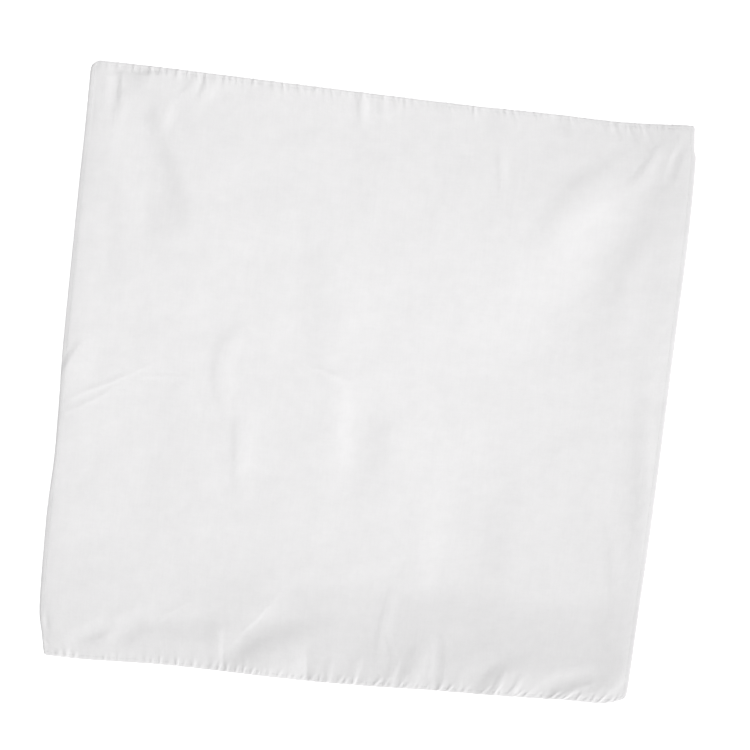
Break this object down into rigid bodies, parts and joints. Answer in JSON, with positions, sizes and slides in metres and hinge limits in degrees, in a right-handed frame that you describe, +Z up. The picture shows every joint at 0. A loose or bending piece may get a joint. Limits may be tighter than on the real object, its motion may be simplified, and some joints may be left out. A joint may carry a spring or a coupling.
{
  "type": "bandana",
  "caption": "Open square cotton bandana laid flat and face up, with turned and sewn hems and soft folds drawn from one corner.",
  "frame": {"origin": "middle of the box round the cloth's outline, on the surface that it lies on", "axes": "+Z up out of the cloth's face, +X along the lower and upper hems, +Y along the side hems towards the upper hem"},
  "size_m": [0.5814, 0.5672, 0.0082],
  "materials": {
    "white_cotton": "plain-woven white cotton, washed and matt, with a faint mottle in the weave"
  },
  "bodies": {
    "root": {"cloth": "white_cotton"}
  },
  "joints": []
}
